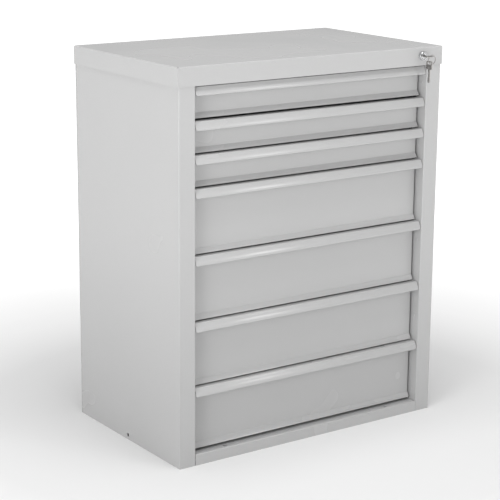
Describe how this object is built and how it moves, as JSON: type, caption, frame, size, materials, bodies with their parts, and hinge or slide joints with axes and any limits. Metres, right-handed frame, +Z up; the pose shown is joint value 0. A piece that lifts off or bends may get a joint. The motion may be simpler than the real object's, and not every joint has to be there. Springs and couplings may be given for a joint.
{
  "type": "drawer cabinet",
  "caption": "Upright sheet-steel tool cabinet with full-width drawers on telescopic slides, curved pull lips and one key lock that bars the drawers.",
  "frame": {"origin": "on the floor, under the centre of the whole object's bounding box, which takes in the key that stands out of the lock", "axes": "+Z up, -Y towards the front where the drawers pull out, +X to the right of someone facing the drawers"},
  "size_m": [0.735, 0.482, 0.9],
  "materials": {
    "powder_coat": "light grey powder coat, fine orange peel, semi-gloss",
    "zinc_plate": "bright zinc-plated steel",
    "chrome_plate": "polished chrome plate",
    "nickel_plate": "nickel plate, lightly handled"
  },
  "bodies": {
    "cabinet": {"back_panel": "powder_coat", "base_tray": "powder_coat", "left_side_panel": "powder_coat", "right_side_panel": "powder_coat", "top_lid": "powder_coat", "upright_left_front": "zinc_plate", "upright_left_rear": "zinc_plate", "upright_right_front": "zinc_plate", "upright_right_rear": "zinc_plate", "lock_barrel": "chrome_plate", "lock_nut": "zinc_plate", "lock_bar_guide_lower": "zinc_plate", "lock_bar_guide_upper": "zinc_plate", "drawer_1_slide_outer_left": "zinc_plate", "drawer_1_slide_outer_right": "zinc_plate", "drawer_2_slide_outer_left": "zinc_plate", "drawer_2_slide_outer_right": "zinc_plate", "drawer_3_slide_outer_left": "zinc_plate", "drawer_3_slide_outer_right": "zinc_plate", "drawer_4_slide_outer_left": "zinc_plate", "drawer_4_slide_outer_right": "zinc_plate", "drawer_5_slide_outer_left": "zinc_plate", "drawer_5_slide_outer_right": "zinc_plate", "drawer_6_slide_outer_left": "zinc_plate", "drawer_6_slide_outer_right": "zinc_plate", "drawer_7_slide_outer_left": "zinc_plate", "drawer_7_slide_outer_right": "zinc_plate"},
    "drawer_1": {"drawer_1_front": "powder_coat", "drawer_1_box": "powder_coat"},
    "drawer_1_slides": {"drawer_1_slide_middle_left": "zinc_plate", "drawer_1_slide_middle_right": "zinc_plate"},
    "drawer_2": {"drawer_2_front": "powder_coat", "drawer_2_box": "powder_coat"},
    "drawer_2_slides": {"drawer_2_slide_middle_left": "zinc_plate", "drawer_2_slide_middle_right": "zinc_plate"},
    "drawer_3": {"drawer_3_front": "powder_coat", "drawer_3_box": "powder_coat"},
    "drawer_3_slides": {"drawer_3_slide_middle_left": "zinc_plate", "drawer_3_slide_middle_right": "zinc_plate"},
    "drawer_4": {"drawer_4_front": "powder_coat", "drawer_4_box": "powder_coat"},
    "drawer_4_slides": {"drawer_4_slide_middle_left": "zinc_plate", "drawer_4_slide_middle_right": "zinc_plate"},
    "drawer_5": {"drawer_5_front": "powder_coat", "drawer_5_box": "powder_coat"},
    "drawer_5_slides": {"drawer_5_slide_middle_left": "zinc_plate", "drawer_5_slide_middle_right": "zinc_plate"},
    "drawer_6": {"drawer_6_front": "powder_coat", "drawer_6_box": "powder_coat"},
    "drawer_6_slides": {"drawer_6_slide_middle_left": "zinc_plate", "drawer_6_slide_middle_right": "zinc_plate"},
    "drawer_7": {"drawer_7_front": "powder_coat", "drawer_7_box": "powder_coat"},
    "drawer_7_slides": {"drawer_7_slide_middle_left": "zinc_plate", "drawer_7_slide_middle_right": "zinc_plate"},
    "lock_cylinder": {"lock_cylinder": "chrome_plate", "lock_cam": "zinc_plate"},
    "lock_bar": {"lock_bar": "zinc_plate"},
    "lock_key": {"lock_key": "nickel_plate"},
    "key_ring": {"key_ring": "nickel_plate"}
  },
  "joints": [
    {"name": "drawer_1_pull", "type": "slide", "parent": "cabinet", "child": "drawer_1", "axis": [0, -1, 0], "range_m": [0, 0.36]},
    {"name": "drawer_1_slides_run", "type": "slide", "parent": "cabinet", "child": "drawer_1_slides", "axis": [0, -1, 0], "range_m": [0, 0.18]},
    {"name": "drawer_2_pull", "type": "slide", "parent": "cabinet", "child": "drawer_2", "axis": [0, -1, 0], "range_m": [0, 0.36]},
    {"name": "drawer_2_slides_run", "type": "slide", "parent": "cabinet", "child": "drawer_2_slides", "axis": [0, -1, 0], "range_m": [0, 0.18]},
    {"name": "drawer_3_pull", "type": "slide", "parent": "cabinet", "child": "drawer_3", "axis": [0, -1, 0], "range_m": [0, 0.36]},
    {"name": "drawer_3_slides_run", "type": "slide", "parent": "cabinet", "child": "drawer_3_slides", "axis": [0, -1, 0], "range_m": [0, 0.18]},
    {"name": "drawer_4_pull", "type": "slide", "parent": "cabinet", "child": "drawer_4", "axis": [0, -1, 0], "range_m": [0, 0.36]},
    {"name": "drawer_4_slides_run", "type": "slide", "parent": "cabinet", "child": "drawer_4_slides", "axis": [0, -1, 0], "range_m": [0, 0.18]},
    {"name": "drawer_5_pull", "type": "slide", "parent": "cabinet", "child": "drawer_5", "axis": [0, -1, 0], "range_m": [0, 0.36]},
    {"name": "drawer_5_slides_run", "type": "slide", "parent": "cabinet", "child": "drawer_5_slides", "axis": [0, -1, 0], "range_m": [0, 0.18]},
    {"name": "drawer_6_pull", "type": "slide", "parent": "cabinet", "child": "drawer_6", "axis": [0, -1, 0], "range_m": [0, 0.36]},
    {"name": "drawer_6_slides_run", "type": "slide", "parent": "cabinet", "child": "drawer_6_slides", "axis": [0, -1, 0], "range_m": [0, 0.18]},
    {"name": "drawer_7_pull", "type": "slide", "parent": "cabinet", "child": "drawer_7", "axis": [0, -1, 0], "range_m": [0, 0.36]},
    {"name": "drawer_7_slides_run", "type": "slide", "parent": "cabinet", "child": "drawer_7_slides", "axis": [0, -1, 0], "range_m": [0, 0.18]},
    {"name": "lock_turn", "type": "hinge", "parent": "cabinet", "child": "lock_cylinder", "pos_m": [0.305, -0.209, 0.88], "axis": [0, 1, 0], "range_deg": [0, 90]},
    {"name": "lock_bar_drop", "type": "slide", "parent": "cabinet", "child": "lock_bar", "axis": [0, 0, -1], "range_m": [0, 0.01556]},
    {"name": "key_withdraw", "type": "slide", "parent": "lock_cylinder", "child": "lock_key", "axis": [0, -1, 0], "range_m": [0, 0.028]},
    {"name": "key_ring_hang", "type": "hinge", "parent": "lock_key", "child": "key_ring", "pos_m": [0.31325, -0.23525, 0.88], "axis": [0, 1, 0], "range_deg": [-90, 0]}
  ],
  "couplings": [
    {"joint": "drawer_1_slides_run", "follows": "drawer_1_pull", "ratio": 0.5},
    {"joint": "drawer_2_slides_run", "follows": "drawer_2_pull", "ratio": 0.5},
    {"joint": "drawer_3_slides_run", "follows": "drawer_3_pull", "ratio": 0.5},
    {"joint": "drawer_4_slides_run", "follows": "drawer_4_pull", "ratio": 0.5},
    {"joint": "drawer_5_slides_run", "follows": "drawer_5_pull", "ratio": 0.5},
    {"joint": "drawer_6_slides_run", "follows": "drawer_6_pull", "ratio": 0.5},
    {"joint": "drawer_7_slides_run", "follows": "drawer_7_pull", "ratio": 0.5},
    {"joint": "lock_turn", "follows": "lock_bar_drop", "rad_per_m": 100.97},
    {"joint": "key_ring_hang", "follows": "lock_bar_drop", "rad_per_m": -100.97}
  ]
}
